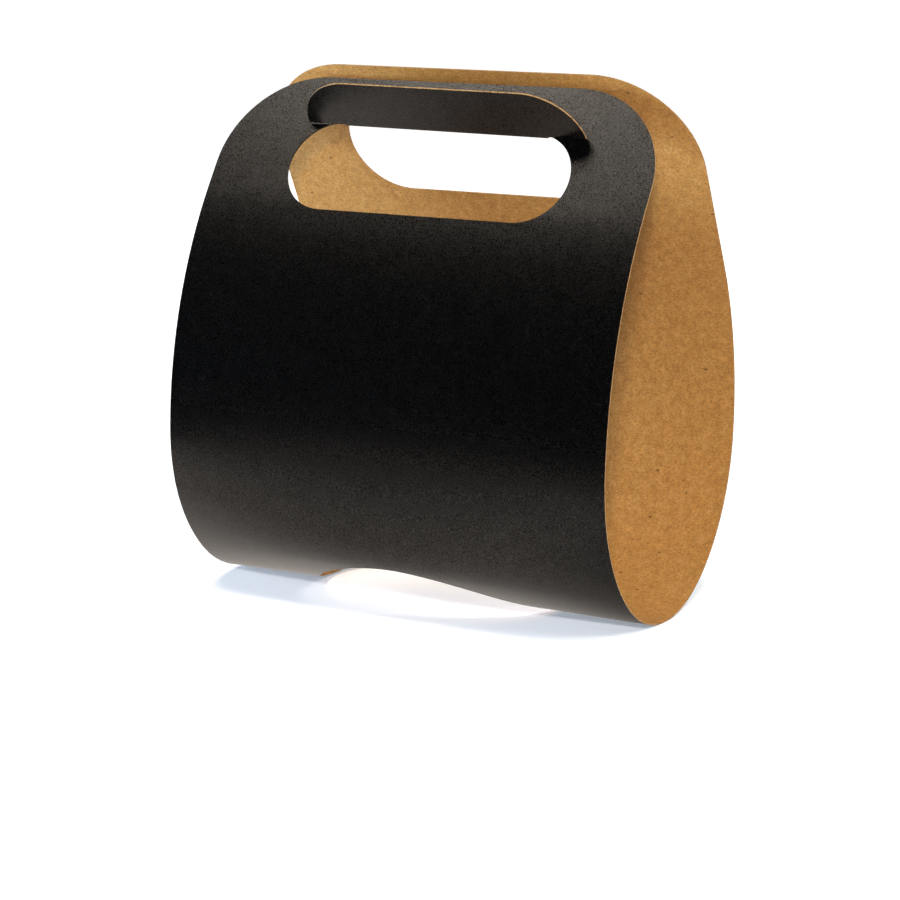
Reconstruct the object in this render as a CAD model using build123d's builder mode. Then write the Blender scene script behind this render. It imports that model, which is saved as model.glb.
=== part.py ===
"""Cardboard carrier for one takeaway cup: a single die-cut sheet of card looped round the cup.

Millimetres. +Z is up, +X runs along the loop from its left end to its right end, -Y is the front.
The origin is the centre of the cup hole, midway between the lowest and highest levels of its edge.
The sheet is black on its outer face and bare brown card on its inner face and cut edges.
"""

import os
from math import atan2, cos, degrees, hypot, radians, sin, tan

from build123d import *

# Sheet
sheet = 0.5                   # card thickness
width = 147.0                 # length of the loop from end to end
corner_radius = 31.0          # rounded top corners at both ends of the sheet

# Loop seen along X, sized on its outer face
belly_half = 46.7             # half the depth at the widest level
belly_height = 42.5           # level of the widest point
middle_y = -1.0               # middle of the depth, from the axis of the cup hole
front_top = (-5.2, 148.7)     # top edge of the front panel (y, z)
front_lean = 32.5             # lean of the flat upper part of the front panel, from upright
back_top = (-3.3, 152.8)      # top edge of the back panel (y, z)
back_lean = 31.0
back_skew = 2.6               # the back panel's top lies this far to the right of the front's
skew_start = -5.0             # level from which the back panel runs off to the right

# Underside: round at the two ends, flatter in the middle where it bears on the cup
# (radius and turn in degrees of the side, then of the corner that leads into the bottom)
end_side = (52.0, 20.0)
end_corner = (58.0, 28.0)
mid_side = (298.0, 5.0)
mid_corner = (17.0, 51.0)

# Cup hole through the underside
cup_radius = 41.0

# Handle
hole_length = 94.6            # front hand hole, a slot with full round ends
hole_height = 29.7
front_strip = 15.5            # card above the front hole
flap_length = 93.7            # back hole, whose card stays on as the locking flap
flap_height = 35.6
back_strip = 9.8              # card above the back hole, where the flap is hinged
neck_width = 68.0             # width of the flap where it passes through the front hole
flap_lean = 40.0              # lean of the flap's turned-up end, outwards from upright
flap_turn = 0.6               # the flap hangs this much lower to the right, in degrees
crease = 0.6                  # inside radius of the creases, and the room round the front hole's edge

# Trimming
lap = 1.0                     # the flap's root starts this far above the hinge, before it is cut to the hole
trim = 3.0                    # extra length of the loop at each end before it is trimmed
past = 200.0                  # the trimming cuts run this far, past everything
cut_depth = 2.0               # depth of a cut to each side of a panel, short of the other panel
reach = width / 2 + trim


def point_on(edge_point, lean_dir, along, inset):
    """Point below a panel's top edge: 'along' down the panel and 'inset' in from its outer face."""
    up = (lean_dir[0], lean_dir[1])
    inward = (up[1] * lean_dir[2], -up[0] * lean_dir[2])
    return (
        edge_point[0] - along * up[0] + inset * inward[0],
        edge_point[1] - along * up[1] + inset * inward[1],
    )


# Direction up each panel (y, z) and the side of it on which the inner face lies
front_dir = (sin(radians(front_lean)), cos(radians(front_lean)), 1)
back_dir = (-sin(radians(back_lean)), cos(radians(back_lean)), -1)


def upper_radius(lean, run, rise):
    """Radius of the arc from the upright belly into a panel that leans in over 'run' and 'rise'."""
    tangent = rise - run / tan(radians(lean))
    return tangent / tan(radians(lean / 2))


front_belly = middle_y - belly_half
back_belly = middle_y + belly_half
front_radius = upper_radius(front_lean, front_top[0] - front_belly, front_top[1] - belly_height)
back_radius = upper_radius(back_lean, back_belly - back_top[0], back_top[1] - belly_height)


def draw_underside(inset, side, corner):
    """Line of one face of the card round the underside, from the front's widest level to the back's."""
    front_side = JernArc((front_belly + inset, belly_height), (0, -1), side[0] - inset, side[1])
    front_corner = JernArc(front_side @ 1, front_side % 1, corner[0] - inset, corner[1])
    back_side = JernArc((back_belly - inset, belly_height), (0, -1), side[0] - inset, -side[1])
    back_corner = JernArc(back_side @ 1, back_side % 1, corner[0] - inset, -corner[1])
    TangentArc(front_corner @ 1, back_corner @ 1, tangent=front_corner % 1)


def skew_at(z):
    """Sideways run-off of the back panel at a level."""
    return back_skew * (z - skew_start) / (back_top[1] - skew_start)


def panel_plane(origin, up, x=0.0):
    """Plane of a flat piece of card that rises along 'up' (y, z), with its own x along the loop."""
    return Plane(origin=(x, origin[0], origin[1]), x_dir=(1, 0, 0), z_dir=(0, -up[1], up[0]))


# Flap, followed on its inner face from the hinge, under the front hole's top edge and up outside it
hinge = point_on(back_top, back_dir, back_strip, sheet + crease)        # centre of the hinge crease
fold = point_on(front_top, front_dir, front_strip, 0)                   # centre of the second crease
neck = hypot(fold[0] - hinge[0], fold[1] - hinge[1])
hinge_heading = degrees(atan2(-back_dir[1], -back_dir[0]))
neck_heading = degrees(atan2(fold[1] - hinge[1], fold[0] - hinge[0]))
head_heading = 90 + flap_lean - 360
hinge_turn = hinge_heading - neck_heading
fold_turn = neck_heading - head_heading
head = flap_height - neck - radians(hinge_turn + fold_turn) * (crease + sheet / 2)
flap_x = skew_at(back_top[1] - (back_strip + flap_height / 2) * back_dir[1])
head_dir = (-sin(radians(flap_lean)), cos(radians(flap_lean)), 1)
head_foot = (
    fold[0] - (crease + sheet) * head_dir[1],
    fold[1] + (crease + sheet) * head_dir[0],
)

# Outline of the top of each panel, laid flat with the top edge on X
panel_depth = 2 * corner_radius
run_off = back_skew - skew_at(back_top[1] - panel_depth * back_dir[1])
with BuildSketch() as front_outline:
    with Locations((0, -panel_depth / 2)):
        Rectangle(width, panel_depth)
    fillet(front_outline.vertices().group_by(Axis.Y)[-1], corner_radius)
with BuildSketch() as back_outline:
    with BuildLine():
        Polyline(
            (-width / 2 + back_skew - run_off, -panel_depth),
            (-width / 2 + back_skew, 0),
            (width / 2 + back_skew, 0),
            (width / 2 + back_skew - run_off, -panel_depth),
            close=True,
        )
    make_face()
    fillet(back_outline.vertices().group_by(Axis.Y)[-1], corner_radius)

# The flap before it is turned: its neck bent forward from the hinge, through the front hole and up
with BuildPart() as bent:
    with BuildSketch(Plane.YZ.offset(flap_x)):
        with BuildLine():
            for inset, radius in ((0, crease + sheet), (sheet, crease)):
                root = point_on(back_top, back_dir, back_strip, inset)
                Line(point_on(back_top, back_dir, back_strip - lap, inset), root)
                first = JernArc(root, (-back_dir[0], -back_dir[1]), radius, -hinge_turn)
                bridge = PolarLine(first @ 1, neck, neck_heading)
                JernArc(bridge @ 1, bridge % 1, radius, -fold_turn)
            Line(
                point_on(back_top, back_dir, back_strip - lap, 0),
                point_on(back_top, back_dir, back_strip - lap, sheet),
            )
            Line(head_foot, point_on(head_foot, head_dir, 0, sheet))
        make_face()
    extrude(amount=neck_width / 2, both=True)

    # Its head, the round end of the flap, wider than the neck so that it holds the front panel
    with BuildSketch(panel_plane(head_foot, head_dir, flap_x)):
        with Locations((0, head - flap_height / 2)):
            SlotOverall(flap_length, flap_height)
        Rectangle(flap_length, head, align=(Align.CENTER, Align.MIN), mode=Mode.INTERSECT)
    extrude(amount=-sheet)

# The flap in place: turned a little, and cut to the outline of the back hole beside the hinge
with BuildPart() as flap:
    add(bent.part.rotate(Axis((flap_x, *hinge), (0, back_dir[1], -back_dir[0])), flap_turn))
    with BuildSketch(panel_plane(back_top, back_dir, flap_x)):
        with Locations((0, -back_strip - flap_height / 2)):
            Rectangle(2 * flap_length, 2 * flap_height)
            SlotOverall(flap_length, flap_height, mode=Mode.SUBTRACT)
    extrude(amount=cut_depth, both=True, mode=Mode.SUBTRACT)

with BuildPart() as carrier:
    # The two panels, from the widest level up to their top edges
    with BuildSketch(Plane.YZ.offset(-reach)):
        for belly, radius, lean, top, lean_dir in (
            (front_belly, front_radius, front_lean, front_top, front_dir),
            (back_belly, back_radius, back_lean, back_top, back_dir),
        ):
            inward = lean_dir[2]
            with BuildLine():
                for inset in (0, sheet):
                    start = (belly + inward * inset, belly_height)
                    bend = JernArc(start, (0, 1), radius - inset, -inward * lean)
                    Line(bend @ 1, point_on(top, lean_dir, 0, inset))
                Line((belly, belly_height), (belly + inward * sheet, belly_height))
                Line(top, point_on(top, lean_dir, 0, sheet))
            make_face()
    extrude(amount=2 * reach)

    # The underside that joins them: a section at each end and one in the middle
    for x, side, corner in (
        (-reach, end_side, end_corner),
        (0, mid_side, mid_corner),
        (reach, end_side, end_corner),
    ):
        with BuildSketch(Plane.YZ.offset(x)):
            with BuildLine():
                draw_underside(0, side, corner)
                draw_underside(sheet, side, corner)
                Line((front_belly, belly_height), (front_belly + sheet, belly_height))
                Line((back_belly, belly_height), (back_belly - sheet, belly_height))
            make_face()
    loft()

    # Its two long edges: square at the front, running off to the right at the back
    with BuildSketch(Plane.XZ):
        with Locations((-width / 2 - trim, 0), (width / 2 + trim, 0)):
            Rectangle(2 * trim, 2 * past)
    extrude(amount=past, mode=Mode.SUBTRACT)
    with BuildSketch(Plane.XZ):
        for edge in (-1, 1):
            with BuildLine():
                Polyline(
                    (edge * width / 2, -past),
                    (edge * width / 2, skew_start),
                    (edge * width / 2 + skew_at(past), past),
                    (edge * (width / 2 + 2 * trim), past),
                    (edge * (width / 2 + 2 * trim), -past),
                    close=True,
                )
            make_face()
    extrude(amount=-past, mode=Mode.SUBTRACT)

    # Rounded top corners
    for top, lean_dir, outline in (
        (front_top, front_dir, front_outline),
        (back_top, back_dir, back_outline),
    ):
        with BuildSketch(panel_plane(top, lean_dir)):
            Rectangle(2 * reach + 2 * trim, corner_radius, align=(Align.CENTER, Align.MAX))
            add(outline.sketch, mode=Mode.SUBTRACT)
        extrude(amount=cut_depth, both=True, mode=Mode.SUBTRACT)

    # Front hand hole
    with BuildSketch(panel_plane(front_top, front_dir)):
        with Locations((0, -front_strip - hole_height / 2)):
            SlotOverall(hole_length, hole_height)
    extrude(amount=cut_depth, both=True, mode=Mode.SUBTRACT)

    # Back hole
    with BuildSketch(panel_plane(back_top, back_dir, flap_x)):
        with Locations((0, -back_strip - flap_height / 2)):
            SlotOverall(flap_length, flap_height)
    extrude(amount=cut_depth, both=True, mode=Mode.SUBTRACT)

    # Cup hole
    with BuildSketch(Plane.XY):
        Circle(cup_radius)
    extrude(amount=belly_height, both=True, mode=Mode.SUBTRACT)

    add(flap.part)

carrier.part.label = "carrier"
os.makedirs("parts", exist_ok=True)
export_step(carrier.part, "parts/carrier.step")
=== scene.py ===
"""Studio picture of a carrier for a takeaway cup, folded from one sheet of card.

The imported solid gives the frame. The card is a copy of that solid with its faces sorted into the black
outer face, the bare kraft inner face and the cut edges, each with a finish of its own. Lengths are in
metres unless a name says mm.
"""

import logging
from dataclasses import dataclass, field
from enum import Enum
from math import radians

import bmesh
import bpy
from mathutils import Euler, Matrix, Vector

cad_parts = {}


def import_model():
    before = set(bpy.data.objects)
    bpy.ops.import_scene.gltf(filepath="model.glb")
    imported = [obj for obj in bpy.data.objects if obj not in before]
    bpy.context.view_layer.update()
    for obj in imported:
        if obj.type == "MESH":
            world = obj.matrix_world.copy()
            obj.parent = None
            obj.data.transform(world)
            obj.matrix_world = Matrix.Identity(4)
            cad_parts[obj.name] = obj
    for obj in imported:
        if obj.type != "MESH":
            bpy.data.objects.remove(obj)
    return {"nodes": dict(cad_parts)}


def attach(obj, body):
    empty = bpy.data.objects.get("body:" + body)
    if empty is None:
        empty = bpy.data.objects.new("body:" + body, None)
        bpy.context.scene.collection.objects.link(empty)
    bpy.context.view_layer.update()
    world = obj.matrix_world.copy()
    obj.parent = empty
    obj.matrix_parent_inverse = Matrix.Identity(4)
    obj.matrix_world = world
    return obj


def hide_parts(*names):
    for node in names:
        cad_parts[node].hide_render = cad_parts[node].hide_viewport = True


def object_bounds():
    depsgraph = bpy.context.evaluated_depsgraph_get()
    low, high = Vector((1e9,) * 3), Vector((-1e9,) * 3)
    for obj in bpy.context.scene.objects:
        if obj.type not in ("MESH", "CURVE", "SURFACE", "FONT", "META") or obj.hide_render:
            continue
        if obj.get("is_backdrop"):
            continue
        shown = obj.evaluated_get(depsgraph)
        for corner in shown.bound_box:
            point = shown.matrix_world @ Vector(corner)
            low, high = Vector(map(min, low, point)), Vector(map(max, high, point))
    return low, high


LOG = logging.getLogger("carrier")
MM = 0.001
WHITE = "#FFFFFF"


class Side(Enum):
    """The three kinds of surface on the card, numbered as the material slots are."""

    OUTSIDE = 0
    INSIDE = 1
    CUT = 2


def linear(code: str) -> tuple[float, float, float, float]:
    """Turns an sRGB hex colour into linear light.

    Args:
        code: Six hex digits after a hash.

    Returns:
        Linear red, green and blue, with an alpha of 1.
    """
    channels = [int(code[i:i + 2], 16) / 255 for i in (1, 3, 5)]
    light = [c / 12.92 if c <= 0.04045 else ((c + 0.055) / 1.055) ** 2.4 for c in channels]
    return (light[0], light[1], light[2], 1.0)


def add(tree: bpy.types.NodeTree, kind: str, links: dict[str | int, object] | None = None,
        **settings: object) -> bpy.types.Node:
    """Adds a node, sets it up and links its inputs.

    Args:
        tree: Node tree that gets the node.
        kind: Blender's name of the node type.
        links: Input name or number to an output socket, or to a plain value.
        settings: Properties of the node itself.

    Returns:
        The new node.
    """
    node = tree.nodes.new(kind)
    for name, value in settings.items():
        setattr(node, name, value)
    for name, value in (links or {}).items():
        if isinstance(value, bpy.types.NodeSocket):
            tree.links.new(value, node.inputs[name])
        else:
            node.inputs[name].default_value = value
    return node


def set_stops(node: bpy.types.Node, stops: list[tuple[float, str]]) -> bpy.types.NodeSocket:
    """Gives a colour ramp its stops.

    Args:
        node: The ramp.
        stops: Positions with their hex colours, in order.

    Returns:
        The ramp's colour socket.
    """
    elements = node.color_ramp.elements
    while len(elements) < len(stops):
        elements.new(1.0)
    for element, (position, code) in zip(elements, stops):
        element.position = position
        element.color = linear(code)
    return node.outputs["Color"]


def start_material(
    name: str,
) -> tuple[bpy.types.Material, bpy.types.NodeTree, bpy.types.Node, bpy.types.NodeSocket]:
    """Starts a material that has a Principled shader and reads Object coordinates.

    Args:
        name: Name of the material.

    Returns:
        The material, its tree, its shader and the Object coordinate socket.
    """
    material = bpy.data.materials.new(name)
    material.use_nodes = True
    tree = material.node_tree
    shader = tree.nodes["Principled BSDF"]
    place = add(tree, "ShaderNodeTexCoord").outputs["Object"]
    return material, tree, shader, place


@dataclass(frozen=True)
class BlackFace:
    """Black-dyed kraft liner, calendered but not coated.

    Soot black seen straight on. The pressed fibres give a dull sheen at a slant, broken into a fine speckle,
    and a few fibres took the dye less well and show as pale grey-brown specks.

    Attributes:
        black: Colour of the dye.
        fibre: Colour of fibres that took less of it.
        speck: Colour of the few that took hardly any.
        grain_mm: Size of the speckle, drawn coarser than the 0.03 mm of a fibre, too fine for the picture.
        dye_range: Grain values from well-dyed to less-dyed fibres.
        mottle_mm: Size of the patches in which the pulp lies thicker.
        mottle_share: How much of the unevenness of the gloss comes from them.
        speck_mm: Distance between pale specks.
        speck_range: Distances from a speck's middle to its edge, as shares of that.
        speck_cover: How much of the dye a speck lacks.
        dull: Gloss of the dullest fibres, against white for the brightest.
        grain_range: Grain values over which the gloss and the roughness swing.
        roughness: Middle roughness.
        swing: How far the roughness of single fibres departs from it.
        relief_mm: Height of the fibres.
        ior: Index of refraction of cellulose with its dye and size.
    """

    black: str = "#020202"
    fibre: str = "#15120F"
    speck: str = "#2E2924"
    grain_mm: float = 0.34
    dye_range: tuple[float, float] = (0.55, 0.72)
    mottle_mm: float = 5.0
    mottle_share: float = 0.1
    speck_mm: float = 3.2
    speck_range: tuple[float, float] = (0.03, 0.09)
    speck_cover: float = 0.8
    dull: str = "#807B76"
    grain_range: tuple[float, float] = (0.36, 0.64)
    roughness: float = 0.3
    swing: float = 0.05
    relief_mm: float = 0.03
    ior: float = 1.6

    def material(self) -> bpy.types.Material:
        """Makes the material.

        Returns:
            The finished material.
        """
        material, tree, shader, place = start_material("black_kraft_liner")
        grain = add(tree, "ShaderNodeTexNoise", {"Vector": place, "Scale": 1 / (self.grain_mm * MM)})
        mottle = add(tree, "ShaderNodeTexNoise", {"Vector": place, "Scale": 1 / (self.mottle_mm * MM)})
        dyed = set_stops(add(tree, "ShaderNodeValToRGB", {"Fac": grain.outputs["Fac"]}),
                         [(self.dye_range[0], self.black), (self.dye_range[1], self.fibre)])
        cells = add(tree, "ShaderNodeTexVoronoi", {"Vector": place, "Scale": 1 / (self.speck_mm * MM)})
        bare = add(tree, "ShaderNodeMapRange", {
            "Value": cells.outputs["Distance"],
            "From Min": self.speck_range[0], "From Max": self.speck_range[1],
            "To Min": self.speck_cover, "To Max": 0.0})
        colour = add(tree, "ShaderNodeMix", {
            "Factor": bare.outputs["Result"], "A": dyed, "B": linear(self.speck)}, data_type="RGBA")
        uneven = add(tree, "ShaderNodeMix", {
            "Factor": self.mottle_share, "A": grain.outputs["Fac"], "B": mottle.outputs["Fac"]})
        gloss = set_stops(add(tree, "ShaderNodeValToRGB", {"Fac": uneven.outputs["Result"]}),
                          list(zip(self.grain_range, (self.dull, WHITE))))
        rough = add(tree, "ShaderNodeMapRange", {
            "Value": uneven.outputs["Result"],
            "From Min": self.grain_range[0], "From Max": self.grain_range[1],
            "To Min": self.roughness - self.swing, "To Max": self.roughness + self.swing})
        bump = add(tree, "ShaderNodeBump", {
            "Height": grain.outputs["Fac"], "Distance": self.relief_mm * MM, "Strength": 1.0})
        tree.links.new(colour.outputs["Result"], shader.inputs["Base Color"])
        tree.links.new(rough.outputs["Result"], shader.inputs["Roughness"])
        tree.links.new(gloss, shader.inputs["Specular Tint"])
        tree.links.new(bump.outputs["Normal"], shader.inputs["Normal"])
        shader.inputs["IOR"].default_value = self.ior
        return material


@dataclass(frozen=True)
class KraftFace:
    """Bare kraft face of the board: warm brown, cloudy where the pulp lies thicker, with a few dark shives.

    Attributes:
        deep: Colour where the pulp is densest.
        brown: Middle colour.
        pale: Colour where it is thinnest.
        shade: Tone of single fibres that lie in shadow, against white.
        shive: Colour of bits of bark in the pulp.
        cloud_mm: Size of the clouds.
        cloud_detail: How many times finer clouds lie in them.
        cloud_weight: How strong each finer step is against the one before.
        cloud_stops: Cloud values of the three browns.
        fibre_mm: Width of the fibres, drawn coarser than their 0.03 mm, too fine for the picture.
        fibre_detail: How many times finer fibres lie among them.
        fibre_weight: How strong each finer step is against the one before.
        fibre_run: How much longer than wide they are, along the loop, the way the paper machine runs.
        fibre_range: Fibre values from shaded to full tone.
        shive_mm: Distance between shives.
        shive_range: Distances from a shive's middle to its edge, as shares of that.
        shive_cover: How much a shive hides the brown.
        relief_mm: Height of the fibres.
        roughness: Roughness of uncoated paper.
        ior: Index of refraction of cellulose.
    """

    deep: str = "#A27036"
    brown: str = "#AB793C"
    pale: str = "#B48347"
    shade: str = "#CCCCCC"
    shive: str = "#4A2F14"
    cloud_mm: float = 2.6
    cloud_detail: float = 4.0
    cloud_weight: float = 0.55
    cloud_stops: tuple[float, float, float] = (0.3, 0.5, 0.7)
    fibre_mm: float = 0.55
    fibre_detail: float = 3.0
    fibre_weight: float = 0.6
    fibre_run: float = 1.5
    fibre_range: tuple[float, float] = (0.36, 0.64)
    shive_mm: float = 6.0
    shive_range: tuple[float, float] = (0.04, 0.075)
    shive_cover: float = 0.85
    relief_mm: float = 0.04
    roughness: float = 0.8
    ior: float = 1.45

    def material(self) -> bpy.types.Material:
        """Makes the material.

        Returns:
            The finished material.
        """
        material, tree, shader, place = start_material("kraft_face")
        cloud = add(tree, "ShaderNodeTexNoise", {
            "Vector": place, "Scale": 1 / (self.cloud_mm * MM),
            "Detail": self.cloud_detail, "Roughness": self.cloud_weight})
        base = set_stops(add(tree, "ShaderNodeValToRGB", {"Fac": cloud.outputs["Fac"]}),
                         list(zip(self.cloud_stops, (self.deep, self.brown, self.pale))))
        along = add(tree, "ShaderNodeMapping", {"Vector": place, "Scale": (1 / self.fibre_run, 1.0, 1.0)})
        fibre = add(tree, "ShaderNodeTexNoise", {
            "Vector": along.outputs["Vector"], "Scale": 1 / (self.fibre_mm * MM),
            "Detail": self.fibre_detail, "Roughness": self.fibre_weight})
        tone = set_stops(add(tree, "ShaderNodeValToRGB", {"Fac": fibre.outputs["Fac"]}),
                         list(zip(self.fibre_range, (self.shade, WHITE))))
        toned = add(tree, "ShaderNodeMix", {"Factor": 1.0, "A": base, "B": tone},
                    data_type="RGBA", blend_type="MULTIPLY")
        cells = add(tree, "ShaderNodeTexVoronoi", {
            "Vector": along.outputs["Vector"], "Scale": 1 / (self.shive_mm * MM)})
        bark = add(tree, "ShaderNodeMapRange", {
            "Value": cells.outputs["Distance"],
            "From Min": self.shive_range[0], "From Max": self.shive_range[1],
            "To Min": self.shive_cover, "To Max": 0.0})
        colour = add(tree, "ShaderNodeMix", {
            "Factor": bark.outputs["Result"], "A": toned.outputs["Result"], "B": linear(self.shive)},
            data_type="RGBA")
        bump = add(tree, "ShaderNodeBump", {
            "Height": fibre.outputs["Fac"], "Distance": self.relief_mm * MM, "Strength": 1.0})
        tree.links.new(colour.outputs["Result"], shader.inputs["Base Color"])
        tree.links.new(bump.outputs["Normal"], shader.inputs["Normal"])
        shader.inputs["Roughness"].default_value = self.roughness
        shader.inputs["IOR"].default_value = self.ior
        return material


@dataclass(frozen=True)
class CutEdge:
    """Die-cut edge of the board: pale brown core, with fibres torn along the cut.

    Attributes:
        brown: Colour of pressed fibres.
        pale: Colour of torn ones.
        fibre_mm: Size of the torn tufts, drawn coarser than single fibres, too fine for the picture.
        fibre_detail: How many times finer tufts lie among them.
        fibre_range: Fibre values from pressed to torn.
        roughness: Roughness of the cut.
    """

    brown: str = "#5E4223"
    pale: str = "#A07C50"
    fibre_mm: float = 0.7
    fibre_detail: float = 3.0
    fibre_range: tuple[float, float] = (0.3, 0.55)
    roughness: float = 0.9

    def material(self) -> bpy.types.Material:
        """Makes the material.

        Returns:
            The finished material.
        """
        material, tree, shader, place = start_material("cut_edge")
        fibre = add(tree, "ShaderNodeTexNoise", {
            "Vector": place, "Scale": 1 / (self.fibre_mm * MM), "Detail": self.fibre_detail})
        colour = set_stops(add(tree, "ShaderNodeValToRGB", {"Fac": fibre.outputs["Fac"]}),
                           list(zip(self.fibre_range, (self.brown, self.pale))))
        tree.links.new(colour, shader.inputs["Base Color"])
        shader.inputs["Roughness"].default_value = self.roughness
        return material


@dataclass
class Carrier:
    """The folded sheet of card, with its outside, inside and cut edges told apart.

    Attributes:
        belly: A point on the outer face, at the front and widest level of the loop.
        sheet: Thickness of the card.
        crisp: Angle above which two faces of the solid meet in a cut edge.
        weld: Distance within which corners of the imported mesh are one.
        facing: Least cosine between a face's normal and the way it should look.
    """

    belly: Vector = field(default_factory=lambda: Vector((0.0, -47.7, 42.5)) * MM)
    sheet: float = 0.5 * MM
    crisp: float = radians(40)
    weld: float = 0.001 * MM
    facing: float = 0.9

    def spread(self, start: bmesh.types.BMFace) -> set[bmesh.types.BMFace]:
        """Follows the card's surface from one face, round its bends but not over a cut edge.

        Args:
            start: Face to start from.

        Returns:
            All the faces on that side of the card.
        """
        found = {start}
        waiting = [start]
        while waiting:
            for edge in waiting.pop().edges:
                if edge.smooth:
                    fresh = set(edge.link_faces) - found
                    found |= fresh
                    waiting.extend(fresh)
        return found

    def nearest(self, faces: bmesh.types.BMFaceSeq, point: Vector, outward: Vector) -> bmesh.types.BMFace:
        """Finds the face that lies nearest a point and looks the given way.

        Args:
            faces: Faces to look through.
            point: Place to search from.
            outward: Direction in which the face looks.

        Returns:
            That face.
        """
        looking = [f for f in faces if f.normal.dot(outward) > self.facing]
        return min(looking, key=lambda f: (f.calc_center_median() - point).length)

    def build(self, solid: bpy.types.Object) -> bpy.types.Object:
        """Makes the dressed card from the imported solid.

        Args:
            solid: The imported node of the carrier.

        Returns:
            The finished piece.
        """
        shape = bmesh.new()
        shape.from_mesh(solid.data)
        bmesh.ops.remove_doubles(shape, verts=shape.verts, dist=self.weld)
        for edge in shape.edges:
            edge.smooth = edge.calc_face_angle(0.0) < self.crisp
        front = Vector((0.0, -1.0, 0.0))
        outside = self.spread(self.nearest(shape.faces, self.belly, front))
        inside = self.spread(self.nearest(shape.faces, self.belly - front * self.sheet, -front))
        for face in shape.faces:
            face.smooth = True
            side = Side.OUTSIDE if face in outside else Side.INSIDE if face in inside else Side.CUT
            face.material_index = side.value
        LOG.info("card: %d faces outside, %d inside, %d in all", len(outside), len(inside), len(shape.faces))
        mesh = bpy.data.meshes.new("carrier_card")
        shape.to_mesh(mesh)
        shape.free()
        for finish in (BlackFace(), KraftFace(), CutEdge()):
            mesh.materials.append(finish.material())
        piece = bpy.data.objects.new("carrier_card", mesh)
        bpy.context.scene.collection.objects.link(piece)
        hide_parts("carrier")
        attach(piece, "root")
        return piece


@dataclass(frozen=True)
class Softbox:
    """A square studio light.

    Attributes:
        name: What it lights.
        place: Where it hangs.
        aim: Point it looks at.
        side: Length of its sides.
        watts: Its power.
        colour: Its tint.
        gloss: Whether gloss shows it. A polarising filter takes that away.
    """

    name: str
    place: tuple[float, float, float]
    aim: tuple[float, float, float]
    side: float
    watts: float
    colour: str = WHITE
    gloss: bool = False

    def build(self) -> None:
        """Hangs the light and turns it to its aim."""
        lamp = bpy.data.lights.new(self.name, "AREA")
        lamp.shape = "SQUARE"
        lamp.size = self.side
        lamp.energy = self.watts
        lamp.color = linear(self.colour)[:3]
        holder = bpy.data.objects.new(self.name, lamp)
        holder.visible_glossy = self.gloss
        holder.location = self.place
        holder.rotation_euler = (Vector(self.aim) - Vector(self.place)).to_track_quat("-Z", "Y").to_euler()
        bpy.context.scene.collection.objects.link(holder)


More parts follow.
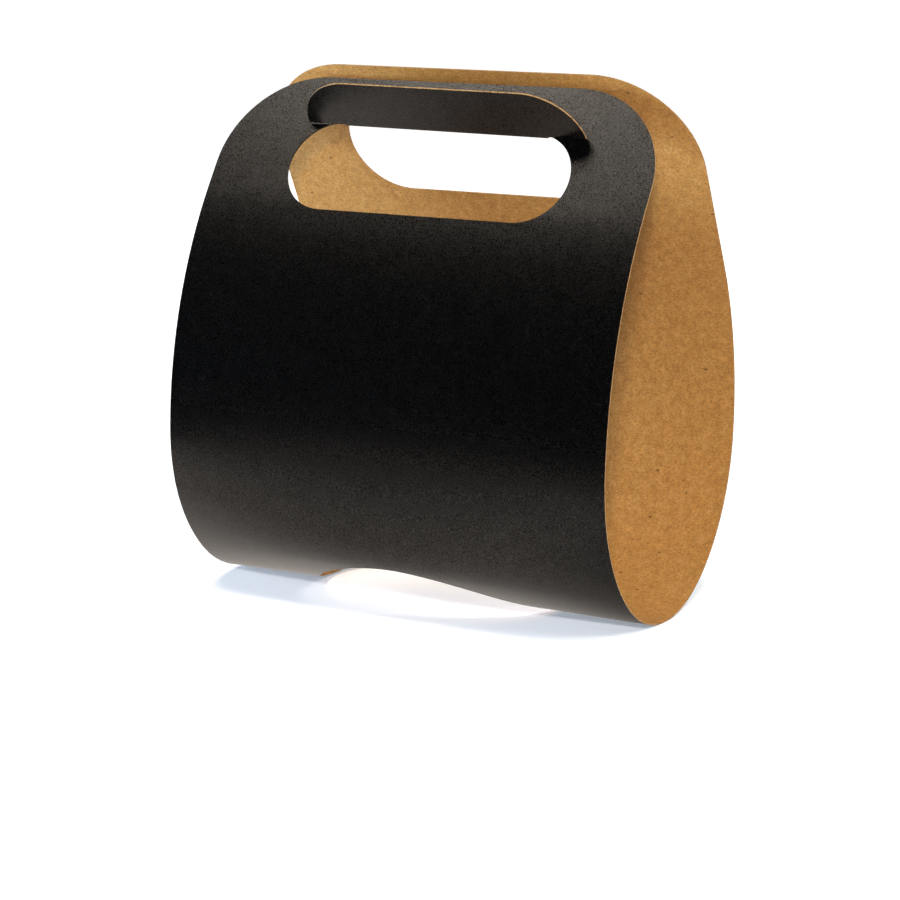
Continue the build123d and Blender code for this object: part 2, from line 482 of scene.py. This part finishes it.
@dataclass(frozen=True)
class Studio:
    """Pale floor that sweeps up behind, soft lights and a plain surround.

    Attributes:
        half_width: Half the width of the background paper.
        front: Where the paper begins.
        sweep_start: Where it turns up.
        sweep_radius: Radius of that turn.
        sweep_steps: Number of facets in it.
        wall_height: Height of the straight part above it.
        paper: Colour of the paper.
        paper_roughness: Its roughness, that of uncoated paper.
        near_lift: Light that the camera adds to the paper beside the card, where the lamps light it too.
        lift_range: Distances over which that grows to full white.
        gloss_centre: Where the paper glows brightest in gloss, a painted light that the card reflects as a
            sheen on its lower belly.
        gloss_range: Distances over which that painted glow fades out from there, like the edge of a lit
            table.
        glow: Tint of that painted glow.
        lit_side: Direction in which the room is light, which gloss shows too.
        lit_reach: Distances along it over which the paper gets as light as the room.
        lit_span: Shares of it over which the surround does.
        lit_level: How light that is.
        ambient: Light of the surround on everything.
        softboxes: The lights.
    """

    half_width: float = 6.0
    front: float = -3.0
    sweep_start: float = 3.0
    sweep_radius: float = 1.5
    sweep_steps: int = 24
    wall_height: float = 3.0
    paper: str = "#F2F2F2"
    paper_roughness: float = 0.9
    near_lift: float = 0.24
    lift_range: tuple[float, float] = (0.2, 0.9)
    gloss_centre: tuple[float, float, float] = (-0.07, -0.06, 0.0)
    gloss_range: tuple[float, float] = (0.085, 0.2)
    glow: str = "#FFF4EA"
    lit_side: tuple[float, float, float] = (0.8, 0.6, 0.0)
    lit_reach: tuple[float, float] = (0.2, 2.0)
    lit_span: tuple[float, float] = (-0.1, 0.8)
    lit_level: float = 0.45
    ambient: float = 0.05
    softboxes: tuple[Softbox, ...] = (
        Softbox("overhead", place=(-0.517, -0.203, 1.083), aim=(0.0, 0.0, 0.08), side=0.3, watts=7.6,
                colour="#FFF4E5", gloss=True),
        Softbox("key", place=(0.368, -0.712, 0.345), aim=(0.0, 0.0, 0.06), side=0.06, watts=5.5),
        Softbox("left", place=(-0.62, -0.30, 0.04), aim=(0.0, 0.0, 0.08), side=0.4, watts=7.0,
                colour="#D4E6FF"),
        Softbox("fill", place=(-0.5, -0.5, 0.03), aim=(0.0, 0.0, 0.12), side=0.3, watts=11.5,
                colour="#A8D0FF"),
        Softbox("right", place=(0.7, -0.1, 0.65), aim=(0.05, 0.0, 0.02), side=0.3, watts=5.0),
        Softbox("back", place=(0.45, 0.75, 0.6), aim=(0.0, 0.0, 0.08), side=0.5, watts=4.0, gloss=True),
    )

    def backdrop_material(self) -> bpy.types.Material:
        """Makes seamless white background paper, seen as white by the camera, that keeps shadows and glows in
        gloss beside the card, a painted light that the card reflects.

        Returns:
            The finished material.
        """
        material, tree, shader, place = start_material("background_paper")
        shader.inputs["Base Color"].default_value = linear(self.paper)
        shader.inputs["Roughness"].default_value = self.paper_roughness
        path = add(tree, "ShaderNodeLightPath")
        away = add(tree, "ShaderNodeVectorMath", {0: place}, operation="LENGTH").outputs["Value"]
        lift = add(tree, "ShaderNodeMapRange", {
            "Value": away, "From Min": self.lift_range[0], "From Max": self.lift_range[1],
            "To Min": self.near_lift, "To Max": 1.0})
        seen = add(tree, "ShaderNodeMath", {0: path.outputs["Is Camera Ray"], 1: lift.outputs["Result"]},
                   operation="MULTIPLY")
        shader.inputs["Emission Color"].default_value = linear(WHITE)
        tree.links.new(seen.outputs[0], shader.inputs["Emission Strength"])
        # Painted light: the paper glows for glossy rays only, brightest near the card's front left, so the
        # card's lower belly shows it as a sheen.
        aside = add(tree, "ShaderNodeVectorMath", {0: place, 1: self.gloss_centre}, operation="DISTANCE")
        near = add(tree, "ShaderNodeMapRange", {
            "Value": aside.outputs["Value"], "From Min": self.gloss_range[0], "From Max": self.gloss_range[1],
            "To Min": 1.0, "To Max": 0.0}, interpolation_type="SMOOTHSTEP")
        toward = add(tree, "ShaderNodeVectorMath", {0: place, 1: self.lit_side}, operation="DOT_PRODUCT")
        room = add(tree, "ShaderNodeMapRange", {
            "Value": toward.outputs["Value"], "From Min": self.lit_reach[0], "From Max": self.lit_reach[1],
            "To Min": 0.0, "To Max": self.lit_level})
        shown = add(tree, "ShaderNodeMath", {0: near.outputs["Result"], 1: room.outputs["Result"]},
                    operation="MAXIMUM")
        gloss_glow = add(tree, "ShaderNodeEmission", {"Color": linear(self.glow), "Strength": shown.outputs[0]})
        both = add(tree, "ShaderNodeMixShader", {
            0: path.outputs["Is Glossy Ray"], 1: shader.outputs["BSDF"], 2: gloss_glow.outputs["Emission"]})
        tree.links.new(both.outputs["Shader"], tree.nodes["Material Output"].inputs["Surface"])
        return material

    def build_backdrop(self, floor: float) -> None:
        """Sweeps the background paper from the floor up into the wall behind.

        Args:
            floor: Level of the floor.
        """
        shape = bmesh.new()
        start = shape.verts.new((-self.half_width, self.front, floor))
        foot = shape.verts.new((-self.half_width, self.sweep_start, floor))
        shape.edges.new((start, foot))
        centre = (0.0, self.sweep_start, floor + self.sweep_radius)
        swept = bmesh.ops.spin(shape, geom=[foot], cent=centre, axis=(1, 0, 0), angle=radians(90),
                               steps=self.sweep_steps)
        top = [v for v in swept["geom_last"] if isinstance(v, bmesh.types.BMVert)]
        raised = bmesh.ops.extrude_vert_indiv(shape, verts=top)["verts"]
        bmesh.ops.translate(shape, verts=raised, vec=(0, 0, self.wall_height))
        across = bmesh.ops.extrude_edge_only(shape, edges=shape.edges[:])["geom"]
        across = [v for v in across if isinstance(v, bmesh.types.BMVert)]
        bmesh.ops.translate(shape, verts=across, vec=(2 * self.half_width, 0, 0))
        bmesh.ops.recalc_face_normals(shape, faces=shape.faces)
        if sum(f.normal.z for f in shape.faces) < 0:
            bmesh.ops.reverse_faces(shape, faces=shape.faces)
        for face in shape.faces:
            face.smooth = True
        mesh = bpy.data.meshes.new("backdrop")
        shape.to_mesh(mesh)
        shape.free()
        mesh.materials.append(self.backdrop_material())
        backdrop = bpy.data.objects.new("backdrop", mesh)
        bpy.context.scene.collection.objects.link(backdrop)
        backdrop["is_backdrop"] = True

    def build_world(self) -> None:
        """Makes a dim surround that the camera sees as white and gloss sees as light on one side."""
        world = bpy.data.worlds.new("surround")
        world.use_nodes = True
        tree = world.node_tree
        path = add(tree, "ShaderNodeLightPath")
        way = add(tree, "ShaderNodeTexCoord").outputs["Generated"]
        toward = add(tree, "ShaderNodeVectorMath", {0: way, 1: self.lit_side}, operation="DOT_PRODUCT")
        room = add(tree, "ShaderNodeMapRange", {
            "Value": toward.outputs["Value"], "From Min": self.lit_span[0], "From Max": self.lit_span[1],
            "To Min": 0.0, "To Max": self.lit_level})
        diffuse = add(tree, "ShaderNodeMath", {
            0: path.outputs["Is Diffuse Ray"], 1: self.ambient, 2: path.outputs["Is Camera Ray"]},
            operation="MULTIPLY_ADD")
        strength = add(tree, "ShaderNodeMath", {
            0: path.outputs["Is Glossy Ray"], 1: room.outputs["Result"], 2: diffuse.outputs[0]},
            operation="MULTIPLY_ADD")
        tree.links.new(strength.outputs[0], tree.nodes["Background"].inputs["Strength"])
        tree.nodes["Background"].inputs["Color"].default_value = linear(WHITE)
        bpy.context.scene.world = world

    def build(self, floor: float) -> None:
        """Builds the backdrop, the surround and the lights.

        Args:
            floor: Level on which the card stands.
        """
        self.build_backdrop(floor)
        self.build_world()
        for softbox in self.softboxes:
            softbox.build()


@dataclass(frozen=True)
class PhotoCamera:
    """Camera at the photograph's place and angle.

    Attributes:
        place_mm: Where the lens is.
        turn_deg: How it is turned, about X, Y and Z.
        lens_mm: Focal length.
        sensor_mm: Width of the sensor.
        clip: Nearest and farthest distance that the camera sees.
    """

    place_mm: tuple[float, float, float] = (375.78, -707.78, 185.14)
    turn_deg: tuple[float, float, float] = (79.422, -1.103, 28.259)
    lens_mm: float = 105.08
    sensor_mm: float = 36.0
    clip: tuple[float, float] = (0.01, 100.0)

    def build(self) -> None:
        """Sets the camera up and makes it the scene's own."""
        camera = bpy.data.cameras.new("photo_camera")
        camera.lens = self.lens_mm
        camera.sensor_width = self.sensor_mm
        camera.clip_start, camera.clip_end = self.clip
        holder = bpy.data.objects.new("photo_camera", camera)
        holder.location = Vector(self.place_mm) * MM
        holder.rotation_euler = Euler([radians(a) for a in self.turn_deg], "XYZ")
        bpy.context.scene.collection.objects.link(holder)
        bpy.context.scene.camera = holder


def main() -> None:
    """Builds the carrier, the studio and the camera."""
    logging.basicConfig(level=logging.INFO, format="%(name)s: %(message)s")
    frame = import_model()
    solid_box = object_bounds()
    bpy.context.scene.view_settings.view_transform = "Standard"
    piece = Carrier().build(frame["nodes"]["carrier"])
    LOG.info("%s stands for the packed solid", piece.name)
    Studio().build(floor=solid_box[0][2])
    PhotoCamera().build()


if __name__ == "__main__":
    main()
